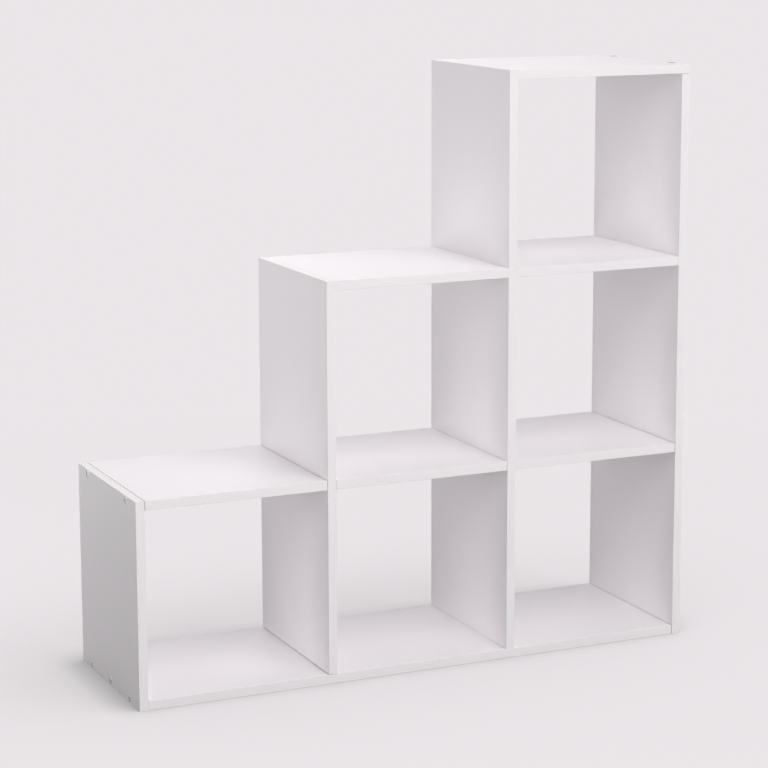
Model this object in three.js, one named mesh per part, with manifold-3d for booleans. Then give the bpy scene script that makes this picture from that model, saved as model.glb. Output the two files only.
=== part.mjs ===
// Staircase bookshelf: six open cube cells in three columns, one, two and three cells high.
// Millimetres, +Z up. The front faces -Y, and the origin is the middle of the footprint on the floor.
import * as THREE from "three";
import { mergeVertices } from "three/addons/utils/BufferGeometryUtils.js";
import Module from "manifold-3d";

const wasm = await Module();
wasm.setup();

// Boards and the clear space of one cell
const boardThickness = 15;
const boardDepth = 290;
const cellWidth = 305;
const cellHeight = 305;

// Distance of the outer fixings from the front and back edges
const fixingInset = 48;

// Gap round a screw or dowel in its hole
const fitGap = 0.3;

// How far a cut runs past the face it opens
const cutOverrun = 2;

// Chipboard screw with a countersunk head and a hexagon socket
const screwLength = 50;
const screwHeadDiameter = 12;
const screwHeadRim = 0.8;
const screwHeadCone = 2.5;
const screwHeadSink = 0.2;
const screwShoulderDiameter = 7;
const screwShoulderLength = 10;
const screwThreadDiameter = 6;
const screwTipDiameter = 2.4;
const screwTipLength = 4;
const socketAcrossFlats = 4;
const socketDepth = 2.8;
const socketSides = 6;
const screwSides = 10;

// Beech dowel
const dowelDiameter = 8;
const dowelLength = 35;
const dowelChamfer = 1;
const dowelEndGap = 1;
const dowelSides = 10;

// Board left behind a dowel hole that stops short of the far face
const blindSkin = 4;

const melamine = { color: 0xf1eef0, roughness: 0.42, metalness: 0 };
const zincPlate = { color: 0xb4b7ba, roughness: 0.32, metalness: 1 };
const beech = { color: 0xcfa97a, roughness: 0.7, metalness: 0 };

const columns = ["left", "middle", "right"];
const columnPitch = cellWidth + boardThickness;
const levelPitch = cellHeight + boardThickness;
const shelfWidth = columns.length * columnPitch + boardThickness;
const shelfHeight = columns.length * levelPitch + boardThickness;
const halfWidth = shelfWidth / 2;
const halfThickness = boardThickness / 2;

// Middle plane of an upright, counted from the left, and of a level, counted from the floor
const uprightX = (number) => number * columnPitch + halfThickness - halfWidth;
const levelZ = (number) => number * levelPitch + halfThickness;
const levelTop = (number) => levelZ(number) + halfThickness;
const levelUnderside = (number) => levelZ(number) - halfThickness;

const bookshelf = new THREE.Group();

// Solids for cuts

function toSolid(geometry) {
  const bare = geometry.clone();
  bare.deleteAttribute("normal");
  bare.deleteAttribute("uv");
  const merged = mergeVertices(bare);
  return new wasm.Manifold(
    new wasm.Mesh({
      numProp: 3,
      vertProperties: merged.attributes.position.array,
      triVerts: new Uint32Array(merged.index.array),
    }),
  );
}

function toGeometry(solid) {
  const mesh = solid.getMesh();
  const shared = new THREE.BufferGeometry();
  shared.setAttribute("position", new THREE.BufferAttribute(mesh.vertProperties, 3));
  shared.setIndex(new THREE.BufferAttribute(mesh.triVerts, 1));
  const faceted = shared.toNonIndexed();
  faceted.computeVertexNormals();
  return faceted;
}

// A turned piece whose axis is Z. The outline climbs from the axis to the axis as [radius, height].
function turned(outline, sides) {
  const points = outline.map(([radius, height]) => new THREE.Vector2(radius, height));
  const geometry = new THREE.LatheGeometry(points, sides);
  geometry.rotateX(Math.PI / 2);
  return geometry;
}

function addMesh(parent, name, geometry, finish) {
  const mesh = new THREE.Mesh(geometry, new THREE.MeshStandardMaterial(finish));
  mesh.name = name;
  parent.add(mesh);
  return mesh;
}

// Boards: each entry keeps its box and collects its holes until all fixings are placed

const boards = {};

function layBoard(name, low, high) {
  boards[name] = {
    size: high.clone().sub(low),
    centre: low.clone().add(high).divideScalar(2),
    holes: [],
  };
}

function layUpright(name, number, foot, head) {
  const x = uprightX(number);
  layBoard(
    name,
    new THREE.Vector3(x - halfThickness, -boardDepth / 2, foot),
    new THREE.Vector3(x + halfThickness, boardDepth / 2, head),
  );
}

function layShelf(name, level, left, right) {
  layBoard(
    name,
    new THREE.Vector3(left, -boardDepth / 2, levelUnderside(level)),
    new THREE.Vector3(right, boardDepth / 2, levelTop(level)),
  );
}

const columnLeft = (number) => uprightX(number) + halfThickness;
const columnRight = (number) => uprightX(number + 1) - halfThickness;
const last = columns.length - 1;

// The side panels stand on the floor, and the dividers on the bottom board between them
layUpright("left_side_panel", 0, 0, levelTop(1));
layUpright("short_divider", 1, levelTop(0), levelTop(2));
layUpright("tall_divider", 2, levelTop(0), levelTop(3));
layUpright("right_side_panel", 3, 0, levelUnderside(3));
layShelf("bottom_board", 0, columnLeft(0), columnRight(last));
layShelf("low_step_board", 1, columnLeft(0), columnRight(0));
layShelf("middle_shelf", 1, columnLeft(1), columnRight(1));
layShelf("middle_step_board", 2, columnLeft(1), columnRight(1));
layShelf("lower_right_shelf", 1, columnLeft(2), columnRight(2));
layShelf("upper_right_shelf", 2, columnLeft(2), columnRight(2));
// The top board lies over the right side panel
layShelf("top_board", 3, columnLeft(2), halfWidth);

// Fixings: a joint's group has its own +Z along the way the fixing is drawn out, and keeps Y

const outward = { up: 0, right: Math.PI / 2, down: Math.PI, left: -Math.PI / 2 };
const outerPlace = boardDepth / 2 - fixingInset;
const twoPlaces = { front: -outerPlace, back: outerPlace };
const threePlaces = { front: -outerPlace, middle: 0, back: outerPlace };

function jointGroup(x, z, direction) {
  const group = new THREE.Group();
  group.position.set(x, 0, z);
  group.rotation.y = outward[direction];
  group.updateMatrix();
  bookshelf.add(group);
  return group;
}

function drill(boardName, hole, group, place) {
  const placed = hole.clone().translate(0, place, 0).applyMatrix4(group.matrix);
  boards[boardName].holes.push(placed);
}

// The screw's outline from tip to head, grown by a gap where it is the hole, with its top at a height
function screwOutline(gap, top) {
  const headTop = -screwHeadSink;
  const coneTop = headTop - screwHeadRim;
  const coneFoot = coneTop - screwHeadCone;
  const shoulderFoot = coneFoot - screwShoulderLength - gap;
  const tip = headTop - screwLength - gap;
  const headRadius = screwHeadDiameter / 2 + gap;
  const shoulderRadius = screwShoulderDiameter / 2 + gap;
  const threadRadius = screwThreadDiameter / 2 + gap;
  return [
    [0, tip],
    [screwTipDiameter / 2 + gap, tip],
    [threadRadius, tip + screwTipLength],
    [threadRadius, shoulderFoot],
    [shoulderRadius, shoulderFoot],
    [shoulderRadius, coneFoot],
    [headRadius, coneTop],
    [headRadius, top],
    [0, top],
  ];
}

function makeScrew() {
  const body = turned(screwOutline(0, -screwHeadSink), screwSides);
  const corner = socketAcrossFlats / (2 * Math.cos(Math.PI / socketSides));
  const socket = new THREE.CylinderGeometry(corner, corner, socketDepth + cutOverrun, socketSides);
  socket.rotateX(Math.PI / 2);
  socket.translate(0, 0, (cutOverrun - socketDepth) / 2 - screwHeadSink);
  return toGeometry(toSolid(body).subtract(toSolid(socket)));
}

// The dowel's outline about its middle. The hole for it has no chamfers.
function makeDowel() {
  const radius = dowelDiameter / 2;
  const half = dowelLength / 2;
  const outline = [
    [0, -half],
    [radius - dowelChamfer, -half],
    [radius, dowelChamfer - half],
    [radius, half - dowelChamfer],
    [radius - dowelChamfer, half],
    [0, half],
  ];
  return turned(outline, dowelSides);
}

function makeDowelHole() {
  const radius = dowelDiameter / 2 + fitGap;
  const half = dowelLength / 2 + dowelEndGap;
  const outline = [
    [0, -half],
    [radius, -half],
    [radius, half],
    [0, half],
  ];
  return turned(outline, dowelSides);
}

const screwShape = makeScrew();
const screwHole = turned(screwOutline(fitGap, cutOverrun), screwSides);
const dowelShape = makeDowel();
const dowelHole = makeDowelHole();

// Each screw goes through the face of the first board into the end of the second
const screwedJoints = [
  {
    name: "left_foot",
    boards: ["left_side_panel", "bottom_board"],
    at: [-halfWidth, levelZ(0), "left"],
    places: threePlaces,
  },
  {
    name: "right_foot",
    boards: ["right_side_panel", "bottom_board"],
    at: [halfWidth, levelZ(0), "right"],
    places: threePlaces,
  },
  {
    name: "short_divider",
    boards: ["bottom_board", "short_divider"],
    at: [uprightX(1), 0, "down"],
    places: threePlaces,
  },
  {
    name: "tall_divider",
    boards: ["bottom_board", "tall_divider"],
    at: [uprightX(2), 0, "down"],
    places: threePlaces,
  },
  {
    name: "low_step",
    boards: ["left_side_panel", "low_step_board"],
    at: [-halfWidth, levelZ(1), "left"],
    places: twoPlaces,
  },
  {
    name: "lower_right",
    boards: ["right_side_panel", "lower_right_shelf"],
    at: [halfWidth, levelZ(1), "right"],
    places: twoPlaces,
  },
  {
    name: "upper_right",
    boards: ["right_side_panel", "upper_right_shelf"],
    at: [halfWidth, levelZ(2), "right"],
    places: twoPlaces,
  },
  {
    name: "top",
    boards: ["top_board", "right_side_panel"],
    at: [uprightX(3), shelfHeight, "up"],
    places: twoPlaces,
  },
];

for (const joint of screwedJoints) {
  const group = jointGroup(...joint.at);
  for (const [side, place] of Object.entries(joint.places)) {
    const screw = addMesh(group, `screw_${joint.name}_${side}`, screwShape, zincPlate);
    screw.position.y = place;
    for (const boardName of joint.boards) {
      drill(boardName, screwHole, group, place);
    }
  }
}

// A dowel goes right through a divider into the ends of two boards, or stops inside the divider
const blindPlace = dowelLength / 2 + dowelEndGap + blindSkin - halfThickness;
const dowelledJoints = [
  {
    name: "short_divider_low",
    boards: ["short_divider", "low_step_board", "middle_shelf"],
    at: [uprightX(1), levelZ(1), "right"],
  },
  {
    name: "short_divider_high",
    boards: ["short_divider", "middle_step_board"],
    at: [uprightX(1) + blindPlace, levelZ(2), "right"],
  },
  {
    name: "tall_divider_low",
    boards: ["tall_divider", "middle_shelf", "lower_right_shelf"],
    at: [uprightX(2), levelZ(1), "right"],
  },
  {
    name: "tall_divider_middle",
    boards: ["tall_divider", "middle_step_board", "upper_right_shelf"],
    at: [uprightX(2), levelZ(2), "right"],
  },
  {
    name: "tall_divider_high",
    boards: ["tall_divider", "top_board"],
    at: [uprightX(2) + blindPlace, levelZ(3), "right"],
  },
];

for (const joint of dowelledJoints) {
  const group = jointGroup(...joint.at);
  for (const [side, place] of Object.entries(threePlaces)) {
    const dowel = addMesh(group, `dowel_${joint.name}_${side}`, dowelShape, beech);
    dowel.position.y = place;
    for (const boardName of joint.boards) {
      drill(boardName, dowelHole, group, place);
    }
  }
}

// Cut each board once all its holes are known
for (const [name, board] of Object.entries(boards)) {
  const { x, y, z } = board.centre;
  let solid = toSolid(new THREE.BoxGeometry(...board.size.toArray()));
  for (const hole of board.holes) {
    solid = solid.subtract(toSolid(hole.translate(-x, -y, -z)));
  }
  const mesh = addMesh(bookshelf, name, toGeometry(solid), melamine);
  mesh.position.set(x, y, z);
}

export default bookshelf;
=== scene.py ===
import math

import bmesh
import bpy
from mathutils import Matrix, Vector


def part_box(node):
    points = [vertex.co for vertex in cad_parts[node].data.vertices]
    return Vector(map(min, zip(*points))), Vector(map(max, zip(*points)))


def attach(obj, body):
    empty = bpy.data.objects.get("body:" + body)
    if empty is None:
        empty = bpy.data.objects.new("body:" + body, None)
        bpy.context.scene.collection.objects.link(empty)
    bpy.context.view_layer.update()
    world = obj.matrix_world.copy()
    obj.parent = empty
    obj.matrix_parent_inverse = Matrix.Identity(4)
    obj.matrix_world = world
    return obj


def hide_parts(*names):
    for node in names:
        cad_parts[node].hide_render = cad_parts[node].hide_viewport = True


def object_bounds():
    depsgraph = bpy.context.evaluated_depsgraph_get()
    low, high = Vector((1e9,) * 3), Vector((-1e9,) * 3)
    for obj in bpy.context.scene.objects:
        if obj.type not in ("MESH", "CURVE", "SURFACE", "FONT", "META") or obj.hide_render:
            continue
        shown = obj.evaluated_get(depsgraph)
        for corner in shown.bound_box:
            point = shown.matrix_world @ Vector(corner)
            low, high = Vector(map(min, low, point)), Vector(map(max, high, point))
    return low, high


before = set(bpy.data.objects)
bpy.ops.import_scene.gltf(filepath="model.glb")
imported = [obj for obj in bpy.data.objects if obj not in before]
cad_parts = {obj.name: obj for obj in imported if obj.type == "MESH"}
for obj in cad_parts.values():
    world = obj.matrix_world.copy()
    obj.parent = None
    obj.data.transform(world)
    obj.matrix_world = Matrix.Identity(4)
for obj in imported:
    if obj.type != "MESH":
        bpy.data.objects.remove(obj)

# White staircase bookshelf: melamine-faced boards with edge bands, chipboard screws sunk a little
# below the faces, and fluted dowels. Metres, +Z up, the front faces -Y.

mm = 0.001
closeTo = 0.01 * mm        # places nearer to each other than this count as one
scene = bpy.context.scene
scene.view_settings.view_transform = "Standard"
cadLow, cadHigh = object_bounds()
shelfMiddle = (cadLow + cadHigh) / 2
print("frame loaded,", len(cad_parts), "nodes")


# Camera

camera = {
    "place": (-1.6189, -3.5648, 1.2336),
    "yaw": 25.104,      # degrees to the right of straight ahead
    "pitch": 10.105,    # degrees below the horizon
    "roll": -0.026,
    "lens": 112.78,
    "sensor": 36,
    "shift": (-0.0391, -0.0651),
    "clip": (0.05, 100),
}


def makeCamera():
    data = bpy.data.cameras.new("camera")
    data.lens = camera["lens"]
    data.sensor_width = camera["sensor"]
    data.shift_x, data.shift_y = camera["shift"]
    data.clip_start, data.clip_end = camera["clip"]
    item = bpy.data.objects.new("camera", data)
    scene.collection.objects.link(item)
    turn = Matrix.Rotation(-math.radians(camera["yaw"]), 4, "Z")
    tilt = Matrix.Rotation(math.radians(90 - camera["pitch"]), 4, "X")
    roll = Matrix.Rotation(math.radians(camera["roll"]), 4, "Z")
    item.matrix_world = Matrix.Translation(camera["place"]) @ turn @ tilt @ roll
    scene.camera = item


makeCamera()
print("camera placed")


# Shader maths as Python expressions

class Wire:
    # A socket that takes part in sums: wire * 2 + 1 adds two Math nodes
    def __init__(self, graph, socket):
        self.graph = graph
        self.socket = socket

    def maths(self, operation, first, second):
        return self.graph.node("ShaderNodeMath", {"operation": operation}, {0: first, 1: second})

    def __add__(self, other):
        return self.maths("ADD", self, other)

    def __radd__(self, other):
        return self.maths("ADD", other, self)

    def __sub__(self, other):
        return self.maths("SUBTRACT", self, other)

    def __rsub__(self, other):
        return self.maths("SUBTRACT", other, self)

    def __mul__(self, other):
        return self.maths("MULTIPLY", self, other)

    def __rmul__(self, other):
        return self.maths("MULTIPLY", other, self)

    def above(self, other):
        return self.maths("GREATER_THAN", self, other)


class Graph:
    # The node tree of a material or of the world
    def __init__(self, owner):
        owner.use_nodes = True
        self.tree = owner.node_tree
        self.tree.nodes.clear()

    def node(self, kind, settings={}, sockets={}, output=0):
        made = self.tree.nodes.new(kind)
        for name, value in settings.items():
            if name == "stops":
                self.fillRamp(made.color_ramp, value)
            else:
                setattr(made, name, value)
        for name, value in sockets.items():
            if isinstance(value, Wire):
                self.tree.links.new(value.socket, made.inputs[name])
            else:
                made.inputs[name].default_value = value
        return Wire(self, made.outputs[output]) if made.outputs else None

    def fillRamp(self, ramp, stops):
        while len(ramp.elements) < len(stops):
            ramp.elements.new(1)
        for element, (place, colour) in zip(ramp.elements, stops):
            element.position = place
            element.color = colour


def newMaterial(name):
    material = bpy.data.materials.new(name)
    return material, Graph(material)


def noise(graph, place, scale, detail, rough):
    sockets = {"Vector": place, "Scale": scale, "Detail": detail, "Roughness": rough}
    return graph.node("ShaderNodeTexNoise", {"noise_dimensions": "3D"}, sockets)


def blend(graph, share, first, second):
    settings = {"data_type": "RGBA"}
    return graph.node("ShaderNodeMix", settings, {0: share, 6: first, 7: second}, output=2)


def objectPlace(graph):
    return graph.node("ShaderNodeTexCoord", output=3)


def stretched(graph, place, scale):
    return graph.node("ShaderNodeMapping", {}, {"Vector": place, "Scale": scale})


def bumped(graph, height, depth, normal=None):
    sockets = {"Height": height, "Distance": depth, "Strength": 1}
    if normal is not None:
        sockets["Normal"] = normal
    return graph.node("ShaderNodeBump", {}, sockets)


def surface(graph, sockets):
    shader = graph.node("ShaderNodeBsdfPrincipled", {}, sockets)
    graph.node("ShaderNodeOutputMaterial", {}, {"Surface": shader})


# Materials

whiteFace = {
    "colour": (0.915, 0.880, 0.906, 1),
    "shade": (0.895, 0.860, 0.886, 1),
    "cloud": {"scale": 9, "detail": 3, "rough": 0.55},       # a hand wide, from shade to colour
    "pearl": {"scale": 1500, "detail": 1, "rough": 0.4},     # pressed grain under a millimetre
    "ripple": {"scale": 38, "detail": 1, "rough": 0.3},      # the board under the paper isn't dead flat
    "pearlDepth": 0.012 * mm,
    "rippleDepth": 0.05 * mm,
    "roughness": 0.37,
    "cloudRoughness": 0.08,                                  # more in the clouds
    "pearlRoughness": 0.03,
}

whiteBand = {
    "colour": (0.912, 0.878, 0.893, 1),
    "shade": (0.888, 0.853, 0.866, 1),
    "cloud": {"scale": 18, "detail": 2, "rough": 0.5},
    "streak": {"scale": 260, "detail": 2, "rough": 0.5},
    "streakDepth": 0.015 * mm,
    "roughness": 0.32,
    "cloudRoughness": 0.06,
}

rawBoard = {
    "stops": [
        (0.00, (0.150, 0.085, 0.040, 1)),
        (0.35, (0.330, 0.215, 0.115, 1)),
        (0.70, (0.500, 0.360, 0.215, 1)),
        (1.00, (0.640, 0.500, 0.330, 1)),
    ],
    "chipScale": 520,
    "chipShare": 0.75,        # of the tone, and the dust between the chips gives the rest
    "dust": {"scale": 2600, "detail": 2, "rough": 0.6},
    "chipDepth": 0.12 * mm,
    "roughness": 0.85,
}

sawnRimPaintedShade = {        # the board's dense layer just under the paper, coloured dark grey as painted shade in the joint seams and hole mouths
    "colour": (0.150, 0.142, 0.136, 1),
    "shade": (0.105, 0.099, 0.095, 1),
    "dust": {"scale": 1800, "detail": 2, "rough": 0.6},
    "dustDepth": 0.03 * mm,
    "roughness": 0.80,
}

zincSteel = {
    "colour": (0.640, 0.642, 0.650, 1),
    "shade": (0.530, 0.532, 0.540, 1),
    "spangle": {"scale": 700, "detail": 2, "rough": 0.5},
    "scratch": {"scale": 2400, "detail": 1, "rough": 0.5},
    "scratchDepth": 0.008 * mm,
    "roughness": 0.52,
    "spangleRoughness": 0.12,
}

beechWood = {
    "stops": [
        (0.0, (0.430, 0.270, 0.150, 1)),
        (0.5, (0.590, 0.410, 0.250, 1)),
        (1.0, (0.700, 0.520, 0.340, 1)),
    ],
    "stretch": (0.08, 1, 1),      # the grain runs along the dowel
    "grain": {"scale": 420, "detail": 3, "rough": 0.6},
    "fleck": {"scale": 1500, "detail": 1, "rough": 0.5},
    "grainShare": 0.7,            # of the tone, and the flecks give the rest
    "grainDepth": 0.03 * mm,
    "roughness": 0.62,
}


def makeWhiteFace():
    material, graph = newMaterial("whiteFace")
    place = objectPlace(graph)
    cloud = noise(graph, place, **whiteFace["cloud"])
    pearl = noise(graph, place, **whiteFace["pearl"])
    ripple = noise(graph, place, **whiteFace["ripple"])
    colour = blend(graph, cloud, whiteFace["shade"], whiteFace["colour"])
    roughness = whiteFace["roughness"] + whiteFace["cloudRoughness"] * cloud
    roughness = roughness + whiteFace["pearlRoughness"] * pearl
    wavy = bumped(graph, ripple, whiteFace["rippleDepth"])
    grained = bumped(graph, pearl, whiteFace["pearlDepth"], wavy)
    surface(graph, {"Base Color": colour, "Roughness": roughness, "Normal": grained})
    return material


def makeWhiteBand():
    material, graph = newMaterial("whiteBand")
    place = objectPlace(graph)
    cloud = noise(graph, place, **whiteBand["cloud"])
    streak = noise(graph, place, **whiteBand["streak"])
    colour = blend(graph, cloud, whiteBand["shade"], whiteBand["colour"])
    roughness = whiteBand["roughness"] + whiteBand["cloudRoughness"] * cloud
    normal = bumped(graph, streak, whiteBand["streakDepth"])
    surface(graph, {"Base Color": colour, "Roughness": roughness, "Normal": normal})
    return material


def makeRawBoard():
    material, graph = newMaterial("rawBoard")
    place = objectPlace(graph)
    chips = graph.node(
        "ShaderNodeTexVoronoi", {"feature": "F1"}, {"Vector": place, "Scale": rawBoard["chipScale"]}, output=1
    )
    tone = graph.node("ShaderNodeSeparateColor", {}, {"Color": chips})
    dust = noise(graph, place, **rawBoard["dust"])
    mixed = rawBoard["chipShare"] * tone + (1 - rawBoard["chipShare"]) * dust
    colour = graph.node("ShaderNodeValToRGB", {"stops": rawBoard["stops"]}, {"Fac": mixed})
    normal = bumped(graph, mixed, rawBoard["chipDepth"])
    surface(graph, {"Base Color": colour, "Roughness": rawBoard["roughness"], "Normal": normal})
    return material


def makeSawnRimPaintedShade():
    material, graph = newMaterial("sawnRimPaintedShade")
    dust = noise(graph, objectPlace(graph), **sawnRimPaintedShade["dust"])
    colour = blend(graph, dust, sawnRimPaintedShade["shade"], sawnRimPaintedShade["colour"])
    normal = bumped(graph, dust, sawnRimPaintedShade["dustDepth"])
    surface(graph, {"Base Color": colour, "Roughness": sawnRimPaintedShade["roughness"], "Normal": normal})
    return material


def makeZincSteel():
    material, graph = newMaterial("zincSteel")
    place = objectPlace(graph)
    spangle = noise(graph, place, **zincSteel["spangle"])
    scratch = noise(graph, place, **zincSteel["scratch"])
    colour = blend(graph, spangle, zincSteel["shade"], zincSteel["colour"])
    roughness = zincSteel["roughness"] + zincSteel["spangleRoughness"] * spangle
    normal = bumped(graph, scratch, zincSteel["scratchDepth"])
    sockets = {"Base Color": colour, "Metallic": 1, "Roughness": roughness, "Normal": normal}
    surface(graph, sockets)
    return material


def makeBeechWood():
    material, graph = newMaterial("beechWood")
    place = objectPlace(graph)
    along = stretched(graph, place, beechWood["stretch"])
    grain = noise(graph, along, **beechWood["grain"])
    fleck = noise(graph, along, **beechWood["fleck"])
    tone = beechWood["grainShare"] * grain + (1 - beechWood["grainShare"]) * fleck
    colour = graph.node("ShaderNodeValToRGB", {"stops": beechWood["stops"]}, {"Fac": tone})
    normal = bumped(graph, tone, beechWood["grainDepth"])
    surface(graph, {"Base Color": colour, "Roughness": beechWood["roughness"], "Normal": normal})
    return material


materials = {
    "white_board": makeWhiteFace(),
    "white_edge": makeWhiteBand(),
    "raw_chipboard": makeRawBoard(),
    "sawn_rim_painted_shade": makeSawnRimPaintedShade(),
    "zinc_screw": makeZincSteel(),
    "beech_dowel": makeBeechWood(),
}
print("materials made")


# Mesh helpers

def near(first, second):
    return abs(first - second) < closeTo


def addPiece(name, bm, slots, *nodes):
    # The piece's first slot is the one it takes its finish from
    mesh = bpy.data.meshes.new(name)
    bm.to_mesh(mesh)
    bm.free()
    for slot in slots:
        mesh.materials.append(materials[slot])
    piece = bpy.data.objects.new(name, mesh)
    scene.collection.objects.link(piece)
    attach(piece, "root")
    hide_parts(*nodes)
    return piece


def boxMesh(low, high):
    bm = bmesh.new()
    bmesh.ops.create_cube(bm, size=1)
    bmesh.ops.scale(bm, vec=high - low, verts=bm.verts)
    bmesh.ops.translate(bm, vec=(low + high) / 2, verts=bm.verts)
    return bm


def bevelEdges(bm, edges, width, segments):
    bmesh.ops.bevel(
        bm, geom=edges, offset=width, offset_type="OFFSET", affect="EDGES",
        segments=segments, profile=0.5, material=-1, clamp_overlap=True,
    )


def turnedMesh(outline, steps):
    # Spins an outline of (radius, height) about Z; it starts and ends on the axis
    bm = bmesh.new()
    points = [bm.verts.new((radius, 0, height)) for radius, height in outline]
    line = [bm.edges.new(pair) for pair in zip(points, points[1:])]
    bmesh.ops.spin(
        bm, geom=points + line, cent=(0, 0, 0), axis=(0, 0, 1), angle=2 * math.pi,
        steps=steps, use_merge=True, use_normal_flip=False, use_duplicate=False,
    )
    bmesh.ops.remove_doubles(bm, verts=bm.verts, dist=closeTo / 5)
    bmesh.ops.recalc_face_normals(bm, faces=bm.faces)
    return bm


def joinMeshes(parts):
    # One bmesh out of several, which are freed
    whole = bmesh.new()
    for part in parts:
        mesh = bpy.data.meshes.new("part")
        part.to_mesh(mesh)
        part.free()
        whole.from_mesh(mesh)
        bpy.data.meshes.remove(mesh)
    return whole


# Fixings: where each one lies is read from its node's box

screwShape = {
    "length": 49.7 * mm,
    "headRadius": 6 * mm,
    "headRim": 0.5 * mm,
    "headCone": 2.5 * mm,
    "nodeSink": 0.2 * mm,           # of the node's box below the board's face
    "sink": 0.5 * mm,               # of the head, as the hole is countersunk
    "shoulderRadius": 3.5 * mm,
    "shoulderLength": 10 * mm,
    "coreRadius": 2.2 * mm,
    "crestRadius": 3.0 * mm,
    "pitch": 3.0 * mm,
    "threadRoot": 2.1 * mm,         # just inside the core
    "threadHalf": 0.9 * mm,         # half the width of a turn at its root
    "threadSteps": 18,              # to a turn
    "tipRadius": 1.2 * mm,
    "tipLength": 4 * mm,
    "socketFlats": 4 * mm,
    "socketDepth": 2.8 * mm,
    "holeGap": 0.3 * mm,
    "rimAngle": 35,                 # degrees, past which the head's rims are rounded
    "rimRound": 0.15 * mm,
    "rimSegments": 2,
    "sharpAngle": 35,               # degrees, past which an edge isn't smoothed
    "steps": 36,
    "lifts": {"left_foot": 0.3 * mm},    # how much higher a joint's screws stand in their holes
}

dowelShape = {
    "radius": 4 * mm,
    "length": 35 * mm,
    "chamfer": 1 * mm,
    "flutes": 18,
    "fluteSides": 4,
    "fluteDepth": 0.25 * mm,
    "holeGap": 0.3 * mm,
    "endGap": 1 * mm,
    "sharpAngle": 50,
}


def outwardOf(centre, axis):
    way = Vector((0, 0, 0))
    way[axis] = 1 if centre[axis] > shelfMiddle[axis] else -1
    return way


def screwPlace(node):
    # Turns local +Z to the way out of the board, with the origin on the board's face
    low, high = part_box(node)
    size = high - low
    axis = max(range(3), key=lambda i: size[i])
    centre = (low + high) / 2
    way = outwardOf(centre, axis)
    face = centre + way * (size[axis] / 2 + screwShape["nodeSink"])
    turn = Vector((0, 0, 1)).rotation_difference(way).to_matrix().to_4x4()
    return Matrix.Translation(face) @ turn


def dowelPlace(node):
    # Turns local +Z to +X, as every dowel lies across a divider
    low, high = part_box(node)
    return Matrix.Translation((low + high) / 2) @ Matrix.Rotation(math.pi / 2, 4, "Y")


def screwOutline(gap, top):
    # Tip to head, grown by a gap where it is the hole's outline
    shape = screwShape
    headTop = -shape["sink"]
    coneTop = headTop - shape["headRim"]
    coneFoot = coneTop - shape["headCone"]
    shoulderFoot = coneFoot - shape["shoulderLength"] - gap
    tip = headTop - shape["length"] - gap
    shank = shape["crestRadius"] if gap else shape["coreRadius"]
    return [
        (0, tip),
        (shape["tipRadius"] + gap, tip),
        (shank + gap, tip + shape["tipLength"]),
        (shank + gap, shoulderFoot),
        (shape["shoulderRadius"] + gap, shoulderFoot),
        (shape["shoulderRadius"] + gap, coneFoot),
        (shape["headRadius"] + gap, coneTop),
        (shape["headRadius"] + gap, top),
    ]


def threadMesh():
    # A triangle wound down the shank
    shape = screwShape
    top = -shape["sink"] - shape["headRim"] - shape["headCone"] - shape["shoulderLength"] - shape["pitch"]
    bottom = -shape["sink"] - shape["length"] + shape["tipLength"]
    turns = (top - bottom) / shape["pitch"]
    bm = bmesh.new()
    root, half = shape["threadRoot"], shape["threadHalf"]
    corners = [(root, top + half), (shape["crestRadius"], top), (root, top - half)]
    points = [bm.verts.new((radius, 0, height)) for radius, height in corners]
    loop = [bm.edges.new((points[i], points[(i + 1) % 3])) for i in range(3)]
    steps = round(turns * shape["threadSteps"])
    bmesh.ops.spin(
        bm, geom=points + loop, cent=(0, 0, 0), axis=(0, 0, 1), dvec=(0, 0, (bottom - top) / steps),
        angle=2 * math.pi * turns, steps=steps, use_merge=False, use_normal_flip=False, use_duplicate=False,
    )
    bmesh.ops.holes_fill(bm, edges=[e for e in bm.edges if e.is_boundary], sides=3)
    bmesh.ops.recalc_face_normals(bm, faces=bm.faces)
    return bm


def screwMesh():
    shape = screwShape
    top = -shape["sink"]
    apothem = shape["socketFlats"] / 2
    socketFloor = top - shape["socketDepth"]
    outline = screwOutline(0, top) + [(apothem, top), (apothem, socketFloor), (0, socketFloor)]
    bm = turnedMesh(outline, shape["steps"])
    # The round socket's two rings become hexagons
    for vert in bm.verts:
        if near(vert.co.xy.length, apothem) and vert.co.z > socketFloor - closeTo:
            angle = math.atan2(vert.co.y, vert.co.x) % (math.pi / 3) - math.pi / 6
            vert.co.xy *= 1 / math.cos(angle)
    rims = [
        e for e in bm.edges
        if e.is_manifold and e.calc_face_angle() > math.radians(shape["rimAngle"])
        and all(near(v.co.xy.length, shape["headRadius"]) for v in e.verts)
    ]
    bevelEdges(bm, rims, shape["rimRound"], shape["rimSegments"])
    return joinMeshes([bm, threadMesh()])


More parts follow.
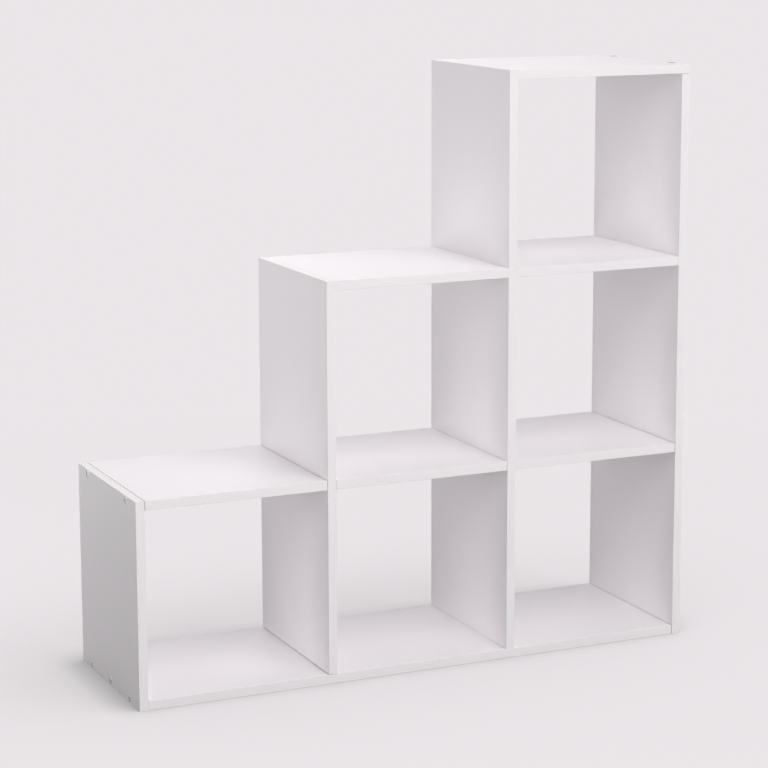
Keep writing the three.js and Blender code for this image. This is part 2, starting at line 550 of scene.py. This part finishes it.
def dowelMesh():
    shape = dowelShape
    bm = bmesh.new()
    sides = shape["flutes"] * shape["fluteSides"]
    bmesh.ops.create_circle(bm, cap_ends=True, segments=sides, radius=shape["radius"])
    for vert in bm.verts:
        angle = math.atan2(vert.co.y, vert.co.x)
        dip = 0.5 - 0.5 * math.cos(angle * shape["flutes"])
        vert.co.xy *= 1 - dip * shape["fluteDepth"] / shape["radius"]
    narrow = 1 - shape["chamfer"] / shape["radius"]
    half = shape["length"] / 2
    bmesh.ops.scale(bm, vec=(narrow, narrow, 1), verts=bm.verts)
    bmesh.ops.translate(bm, vec=(0, 0, -half), verts=bm.verts)
    rises = [
        (shape["chamfer"], 1 / narrow),
        (shape["length"] - 2 * shape["chamfer"], 1),
        (shape["chamfer"], narrow),
    ]
    end = list(bm.faces)
    for step, (rise, grow) in enumerate(rises):
        # The first rise leaves its face behind, as the other end
        made = bmesh.ops.extrude_face_region(bm, geom=end, use_keep_orig=step == 0)
        verts = [item for item in made["geom"] if isinstance(item, bmesh.types.BMVert)]
        end = [item for item in made["geom"] if isinstance(item, bmesh.types.BMFace)]
        bmesh.ops.translate(bm, vec=(0, 0, rise), verts=verts)
        bmesh.ops.scale(bm, vec=(grow, grow, 1), verts=verts)
    bmesh.ops.recalc_face_normals(bm, faces=bm.faces)
    return bm


def placedCopy(source, place):
    bm = source.copy()
    bmesh.ops.transform(bm, matrix=place, verts=bm.verts)
    return bm


nodes = sorted(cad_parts)
screwNodes = [node for node in nodes if node.startswith("screw_")]
dowelNodes = [node for node in nodes if node.startswith("dowel_")]


def addFixings():
    screw = screwMesh()
    dowel = dowelMesh()
    for node in screwNodes:
        joint = node.removeprefix("screw_").rpartition("_")[0]
        place = screwPlace(node) @ Matrix.Translation((0, 0, screwShape["lifts"].get(joint, 0)))
        piece = addPiece(node + "_turned", placedCopy(screw, place), ["zinc_screw"], node)
        piece.data.set_sharp_from_angle(angle=math.radians(screwShape["sharpAngle"]))
    for node in dowelNodes:
        piece = addPiece(node + "_fluted", placedCopy(dowel, dowelPlace(node)), ["beech_dowel"], node)
        piece.data.set_sharp_from_angle(angle=math.radians(dowelShape["sharpAngle"]))
    for source in (screw, dowel):
        source.free()


addFixings()
print("fixings made,", len(screwNodes), "screws,", len(dowelNodes), "dowels")


# Boards: a faced core and a band on each edge that shows

boardFinish = {
    "bandThickness": 0.8 * mm,
    "bandRound": 0.5 * mm,
    "bandSegments": 3,
    "bandSeam": 0.12 * mm,      # groove between a face and its band
    "endRound": 0.25 * mm,      # on the arrises along a joint line
    "rimWidth": 0.6 * mm,       # of the dark rim round a sawn end or a hole's mouth: the dense layer, coloured as painted seam shade
    "overrun": 1 * mm,          # of a drill above the face
    "sharpAngle": 30,
    "squareOn": 0.99,           # cosine past which a face looks straight along an axis
    "longEdge": 1 * mm,         # longer than a bevel is wide
    "flatWeight": 100,          # of the flat faces in a band's normals
}

bandedEdges = {
    "left_side_panel": ("front", "back", "top"),
    "short_divider": ("front", "back", "top"),
    "tall_divider": ("front", "back", "top"),
    "right_side_panel": ("front", "back"),
    "bottom_board": ("front", "back"),
    "low_step_board": ("front", "back"),
    "middle_shelf": ("front", "back"),
    "middle_step_board": ("front", "back"),
    "lower_right_shelf": ("front", "back"),
    "upper_right_shelf": ("front", "back"),
    "top_board": ("front", "back", "right"),
}

edgeSides = {      # axis and way out
    "front": (1, -1), "back": (1, 1), "left": (0, -1), "right": (0, 1), "foot": (2, -1), "top": (2, 1),
}

# How far a board's end stops short of the one that it is screwed or dowelled to
jointGaps = {
    "short_divider": {"foot": 0.75 * mm},
    "tall_divider": {"foot": 0.12 * mm},
    "right_side_panel": {"top": 0.35 * mm},
    "bottom_board": {"left": 0.08 * mm, "right": 0.95 * mm},
    "low_step_board": {"left": 0.72 * mm, "right": 0.70 * mm},
    "middle_shelf": {"left": 0.38 * mm, "right": 0.45 * mm},
    "middle_step_board": {"left": 0.04 * mm, "right": 0.05 * mm},
    "lower_right_shelf": {"left": 0.08 * mm, "right": 0.85 * mm},
    "upper_right_shelf": {"left": 0.08 * mm, "right": 0.38 * mm},
    "top_board": {"left": 0.06 * mm},
}


def boardBox(board):
    low, high = (corner.copy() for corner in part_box(board))
    for edge, gap in jointGaps.get(board, {}).items():
        axis, way = edgeSides[edge]
        corner = high if way > 0 else low
        corner[axis] -= way * gap
    return low, high


def coreBox(board):
    low, high = boardBox(board)
    for edge in bandedEdges[board]:
        axis, way = edgeSides[edge]
        corner = high if way > 0 else low
        corner[axis] -= way * boardFinish["bandThickness"]
    return low, high


def bandBox(board, edge):
    # Front and back bands run the whole edge, and the others end between them
    outerLow, outerHigh = boardBox(board)
    low, high = coreBox(board)
    axis, way = edgeSides[edge]
    if axis == 1:
        low, high = outerLow.copy(), outerHigh.copy()
    if way > 0:
        low[axis] = outerHigh[axis] - boardFinish["bandThickness"]
        high[axis] = outerHigh[axis]
    else:
        low[axis] = outerLow[axis]
        high[axis] = outerLow[axis] + boardFinish["bandThickness"]
    return low, high


def bandMesh(board, edge):
    low, high = bandBox(board, edge)
    bm = boxMesh(low, high)
    axis, way = edgeSides[edge]
    outer = (high if way > 0 else low)[axis]
    size = high - low
    longest = max(range(3), key=lambda i: size[i])
    arrises = [
        e for e in bm.edges
        if all(near(v.co[axis], outer) for v in e.verts)
        and abs(e.verts[0].co[longest] - e.verts[1].co[longest]) > size[longest] / 2
    ]
    bevelEdges(bm, arrises, boardFinish["bandRound"], boardFinish["bandSegments"])
    rounded = boardFinish["bandRound"] + closeTo
    ends = [
        e for e in bm.edges for stop in (low[longest], high[longest])
        if all(near(v.co[longest], stop) and abs(v.co[axis] - outer) < rounded for v in e.verts)
    ]
    bevelEdges(bm, ends, boardFinish["endRound"], 1)
    return bm


def holeMeshes(board):
    # The holes of the fixings that reach into this board
    low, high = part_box(board)
    holes = []
    top = boardFinish["overrun"]
    shape = dowelShape
    half = shape["length"] / 2 + shape["endGap"]
    radius = shape["radius"] + shape["holeGap"]
    dowelOutline = [(0, -half), (radius, -half), (radius, half), (0, half)]
    for node in screwNodes + dowelNodes:
        nodeLow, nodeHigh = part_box(node)
        reaches = all(nodeLow[i] < high[i] and nodeHigh[i] > low[i] for i in range(3))
        if not reaches:
            continue
        if node in screwNodes:
            outline = screwOutline(screwShape["holeGap"], -boardFinish["rimWidth"])
            rim = outline[-1][0]
            hole = turnedMesh(outline + [(rim, top), (0, top)], screwShape["steps"])
            # A hole's mouth takes the dark grey rim, which paints shade into the edge of the hole
            for face in hole.faces:
                face.material_index = 1 if face.calc_center_median().z > -boardFinish["rimWidth"] else 0
            bmesh.ops.transform(hole, matrix=screwPlace(node), verts=hole.verts)
        else:
            hole = turnedMesh(dowelOutline, screwShape["steps"])
            bmesh.ops.transform(hole, matrix=dowelPlace(node), verts=hole.verts)
        holes.append(hole)
    return holes


def drillPiece(piece, holes):
    mesh = bpy.data.meshes.new("drill")
    bits = joinMeshes(holes)
    bits.to_mesh(mesh)
    bits.free()
    mesh.materials.append(materials["raw_chipboard"])
    mesh.materials.append(materials["sawn_rim_painted_shade"])
    drill = bpy.data.objects.new("drill", mesh)
    scene.collection.objects.link(drill)
    cut = piece.modifiers.new("drill", "BOOLEAN")
    cut.operation = "DIFFERENCE"
    cut.solver = "EXACT"
    cut.material_mode = "TRANSFER"
    cut.object = drill
    evaluated = piece.evaluated_get(bpy.context.evaluated_depsgraph_get())
    drilled = bpy.data.meshes.new_from_object(evaluated)
    piece.modifiers.remove(cut)
    solid = piece.data
    piece.data = drilled
    drilled.name = piece.name
    bpy.data.meshes.remove(solid)
    bpy.data.objects.remove(drill)
    bpy.data.meshes.remove(mesh)


def spans(edge, axis):
    # Whether an edge runs along this axis
    start, stop = (vert.co[axis] for vert in edge.verts)
    return abs(start - stop) > boardFinish["longEdge"]


def sawEnds(bm, thin, banded):
    # The flat end faces that carry no band are raw, with a dense rim under the paper, coloured dark grey as
    # painted shade in the joint seams
    ends = []
    for face in bm.faces:
        axis = max(range(3), key=lambda i: abs(face.normal[i]))
        way = 1 if face.normal[axis] > 0 else -1
        square = abs(face.normal[axis]) > boardFinish["squareOn"]
        if square and axis != thin and (axis, way) not in banded:
            face.material_index = 2
            ends.append(face)
    bmesh.ops.inset_individual(bm, faces=ends, thickness=boardFinish["rimWidth"], use_even_offset=True)
    for face in ends:
        face.material_index = 1


def smoothBand(piece):
    # Rounded arrises shade smoothly and the flat faces stay flat
    piece.data.shade_smooth()
    normals = piece.modifiers.new("normals", "WEIGHTED_NORMAL")
    normals.weight = boardFinish["flatWeight"]
    normals.keep_sharp = True


def addBoard(board):
    low, high = coreBox(board)
    bm = boxMesh(low, high)
    thin = min(range(3), key=lambda i: (high - low)[i])
    lengthwise = 2 - thin      # the boards lie or stand, and none faces the front
    cross = [e for e in bm.edges if spans(e, 1)]
    bevelEdges(bm, cross, boardFinish["endRound"], 1)
    bevelEdges(bm, [e for e in bm.edges if spans(e, lengthwise)], boardFinish["bandSeam"], 1)
    sawEnds(bm, thin, [edgeSides[edge] for edge in bandedEdges[board]])
    core = addPiece(board + "_core", bm, ["white_board", "raw_chipboard", "sawn_rim_painted_shade"], board)
    holes = holeMeshes(board)
    if holes:
        drillPiece(core, holes)
    core.data.set_sharp_from_angle(angle=math.radians(boardFinish["sharpAngle"]))
    for edge in bandedEdges[board]:
        band = addPiece(f"{board}_{edge}_band", bandMesh(board, edge), ["white_edge"], board)
        smoothBand(band)


for board in bandedEdges:
    addBoard(board)
print("boards made,", len(bandedEdges))


# Floor and light

stage = {
    "floorRadius": 60,
    "floorSides": 96,
    "floorDrop": 0.1 * mm,
    "background": (0.823, 0.791, 0.812, 1),
    "floorLit": (0.98, 0.945, 0.965, 1),       # the share of the seen floor that takes the lamps' shadows
    "floorBounce": (0.150, 0.145, 0.145, 1),   # what the floor throws back at the shelf
    "litShare": 0.06,
    "litReach": (0.9, 2.0),                    # from the middle, where that share starts to fade and ends
    "contactSamples": 16,
}

# Shades of the seen floor, by how much of a cap of sky the shelf covers within reach. The cap leans
# from upright by the tilt, in degrees, towards the azimuth, which is counted from the front to +X.
contacts = {
    "wide": {"shade": 0.336, "reach": 0.60, "tilt": 35, "azimuth": 30},
    "near": {"shade": 0.345, "reach": 0.08, "tilt": 65, "azimuth": 0},
    "tight": {"shade": 0.296, "reach": 0.05, "tilt": 20, "azimuth": 90},
}

softboxes = {
    "back_high": {"place": (0, 1.5, 1.8), "size": (1.2, 1.2), "power": 11.0},
    "back_left_low": {"place": (-1.41, 1.41, 0.4), "size": (1.2, 0.8), "power": 5.8},
    "back_left_near": {"place": (-1, 1, 0.9), "size": (1.2, 1.2), "power": 4.2},
    "left": {"place": (-3, -1.5, 1), "size": (1.2, 1.6), "power": 21.8},
    "front_high": {"place": (0, -1.2, 1.8), "size": (1.2, 1.2), "power": 10.5},
    "front_low": {"place": (-0.3, -1.3, 0.3), "size": (1.2, 0.4), "power": 3.0},
    "over": {"place": (0.1, 0.2, 1.8), "size": (1.2, 1.0), "power": 3.4},
    "right": {"place": (2, -0.6, 0.4), "size": (1.2, 0.8), "power": 18.9},
}
softboxAim = (0, 0, 0.5)
mirroredLamps = ("back_high", "back_left_low", "back_left_near", "over")    # the rest would blow out the tops

sun = {"azimuth": 20, "elevation": 35, "angle": 60, "strength": 1.23}


def seenRays(graph):
    # 1 on the rays of the camera, of reflections and of clear materials, and 0 on the rest
    rays = graph.node("ShaderNodeLightPath").socket.node.outputs
    kinds = ("Is Camera Ray", "Is Glossy Ray", "Is Transmission Ray")
    eye, mirror, clear = (Wire(graph, rays[kind]) for kind in kinds)
    return (eye + mirror + clear).above(0.5)


def contactShade(graph, contact):
    tilt, azimuth = math.radians(contact["tilt"]), math.radians(contact["azimuth"])
    aside = math.sin(tilt)
    way = {"X": aside * math.sin(azimuth), "Y": -aside * math.cos(azimuth), "Z": math.cos(tilt)}
    lean = graph.node("ShaderNodeCombineXYZ", {}, way)
    settings = {"samples": stage["contactSamples"]}
    sockets = {"Distance": contact["reach"], "Normal": lean}
    clear = graph.node("ShaderNodeAmbientOcclusion", settings, sockets, output=1)
    return contact["shade"] * (1 - clear)


def makeFloor():
    material, graph = newMaterial("floor")
    place = objectPlace(graph)
    distance = graph.node("ShaderNodeVectorMath", {"operation": "LENGTH"}, {0: place}, output=1)
    start, stop = stage["litReach"]
    fade = graph.node(
        "ShaderNodeMapRange", {"interpolation_type": "SMOOTHSTEP"},
        {"Value": distance, "From Min": start, "From Max": stop, "To Min": stage["litShare"], "To Max": 0},
    )
    level = 1
    for contact in contacts.values():
        level = level - contactShade(graph, contact)
    even = graph.node("ShaderNodeEmission", {}, {"Color": stage["background"], "Strength": level})
    lit = graph.node("ShaderNodeBsdfDiffuse", {}, {"Color": stage["floorLit"]})
    seen = graph.node("ShaderNodeMixShader", {}, {0: fade, 1: even, 2: lit})
    bounce = graph.node("ShaderNodeBsdfDiffuse", {}, {"Color": stage["floorBounce"]})
    mixed = graph.node("ShaderNodeMixShader", {}, {0: seenRays(graph), 1: bounce, 2: seen})
    graph.node("ShaderNodeOutputMaterial", {}, {"Surface": mixed})
    bm = bmesh.new()
    sides, radius = stage["floorSides"], stage["floorRadius"]
    bmesh.ops.create_circle(bm, cap_ends=True, segments=sides, radius=radius)
    bmesh.ops.translate(bm, vec=(0, 0, -stage["floorDrop"]), verts=bm.verts)
    mesh = bpy.data.meshes.new("floor")
    bm.to_mesh(mesh)
    bm.free()
    mesh.materials.append(material)
    floor = bpy.data.objects.new("floor", mesh)
    scene.collection.objects.link(floor)


def makeWorld():
    world = bpy.data.worlds.new("studio")
    scene.world = world
    graph = Graph(world)
    # The backdrop is seen and gives no light, so the first shader's socket stays empty
    backdrop = graph.node("ShaderNodeBackground", {}, {"Color": stage["background"], "Strength": 1})
    mixed = graph.node("ShaderNodeMixShader", {}, {0: seenRays(graph), 2: backdrop})
    graph.node("ShaderNodeOutputWorld", {}, {"Surface": mixed})


def addLamp(name, data, place):
    item = bpy.data.objects.new(name, data)
    scene.collection.objects.link(item)
    item.matrix_world = place
    item.visible_camera = False
    item.visible_glossy = name in mirroredLamps


def makeLamps():
    for name, box in softboxes.items():
        data = bpy.data.lights.new(name, "AREA")
        data.shape = "RECTANGLE"
        data.size, data.size_y = box["size"]
        data.energy = box["power"]
        aim = Vector(softboxAim) - Vector(box["place"])
        turn = aim.to_track_quat("-Z", "Y").to_matrix().to_4x4()
        addLamp(name, data, Matrix.Translation(box["place"]) @ turn)
    data = bpy.data.lights.new("sun", "SUN")
    data.energy = sun["strength"]
    data.angle = math.radians(sun["angle"])
    turn = Matrix.Rotation(math.radians(sun["azimuth"]), 4, "Z")
    addLamp("sun", data, turn @ Matrix.Rotation(math.radians(90 - sun["elevation"]), 4, "X"))


makeFloor()
makeWorld()
makeLamps()
print("stage and light made")
